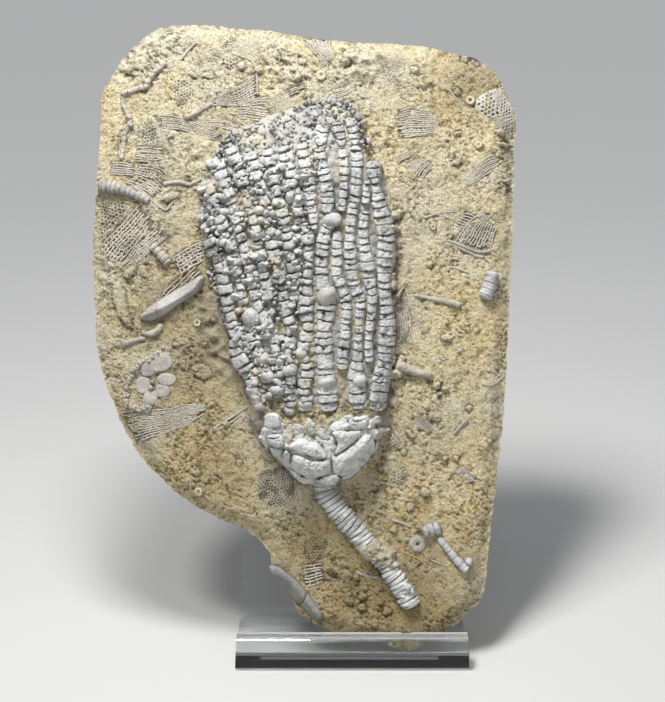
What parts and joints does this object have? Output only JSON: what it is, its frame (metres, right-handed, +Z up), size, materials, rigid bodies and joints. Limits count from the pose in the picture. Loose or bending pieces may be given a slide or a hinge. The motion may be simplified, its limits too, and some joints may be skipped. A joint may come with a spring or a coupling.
{
  "type": "crinoid fossil on matrix slab",
  "caption": "Fossil sea lily crown and stem on a leaning slab of sandy limestone with shell and lace coral bits, on a clear acrylic easel.",
  "frame": {"origin": "middle of the flat underside of the stand's ledge, on the surface it stands on", "axes": "+Z up, fossil face towards -Y and leaning back, +X to the right of the face"},
  "size_m": [0.1015, 0.0852, 0.1444],
  "materials": {
    "matrix": "sandy, granular, matt",
    "fossil": "calcite, satin",
    "shell": "calcite, satin",
    "clear_acrylic": "clear, polished"
  },
  "bodies": {
    "root": {"arm_inner": "fossil", "arm_knotted": "fossil", "arm_knotted_left": "fossil", "arm_knotted_right": "fossil", "arm_left_fork": "fossil", "arm_left_lobe": "fossil", "arm_left_lobe_upper": "fossil", "arm_left_rim": "fossil", "arm_middle": "fossil", "arm_middle_fork": "fossil", "arm_middle_left": "fossil", "arm_right": "fossil", "arm_right_inner": "fossil", "arm_right_outer": "fossil", "arm_right_rim": "fossil", "arm_tips": "fossil", "chain_of_plates": "fossil", "cup": "fossil", "display_stand": "clear_acrylic", "matrix_slab": "matrix", "plate_rosette": "shell", "ring_plate": "fossil", "shell_on_rim": "shell", "shell_splinter": "shell", "spindle_spine": "fossil", "stem": "fossil", "stem_fragment_left": "fossil", "stem_fragment_low": "fossil", "stem_fragment_right": "fossil", "stem_twig_low": "fossil"}
  },
  "joints": []
}
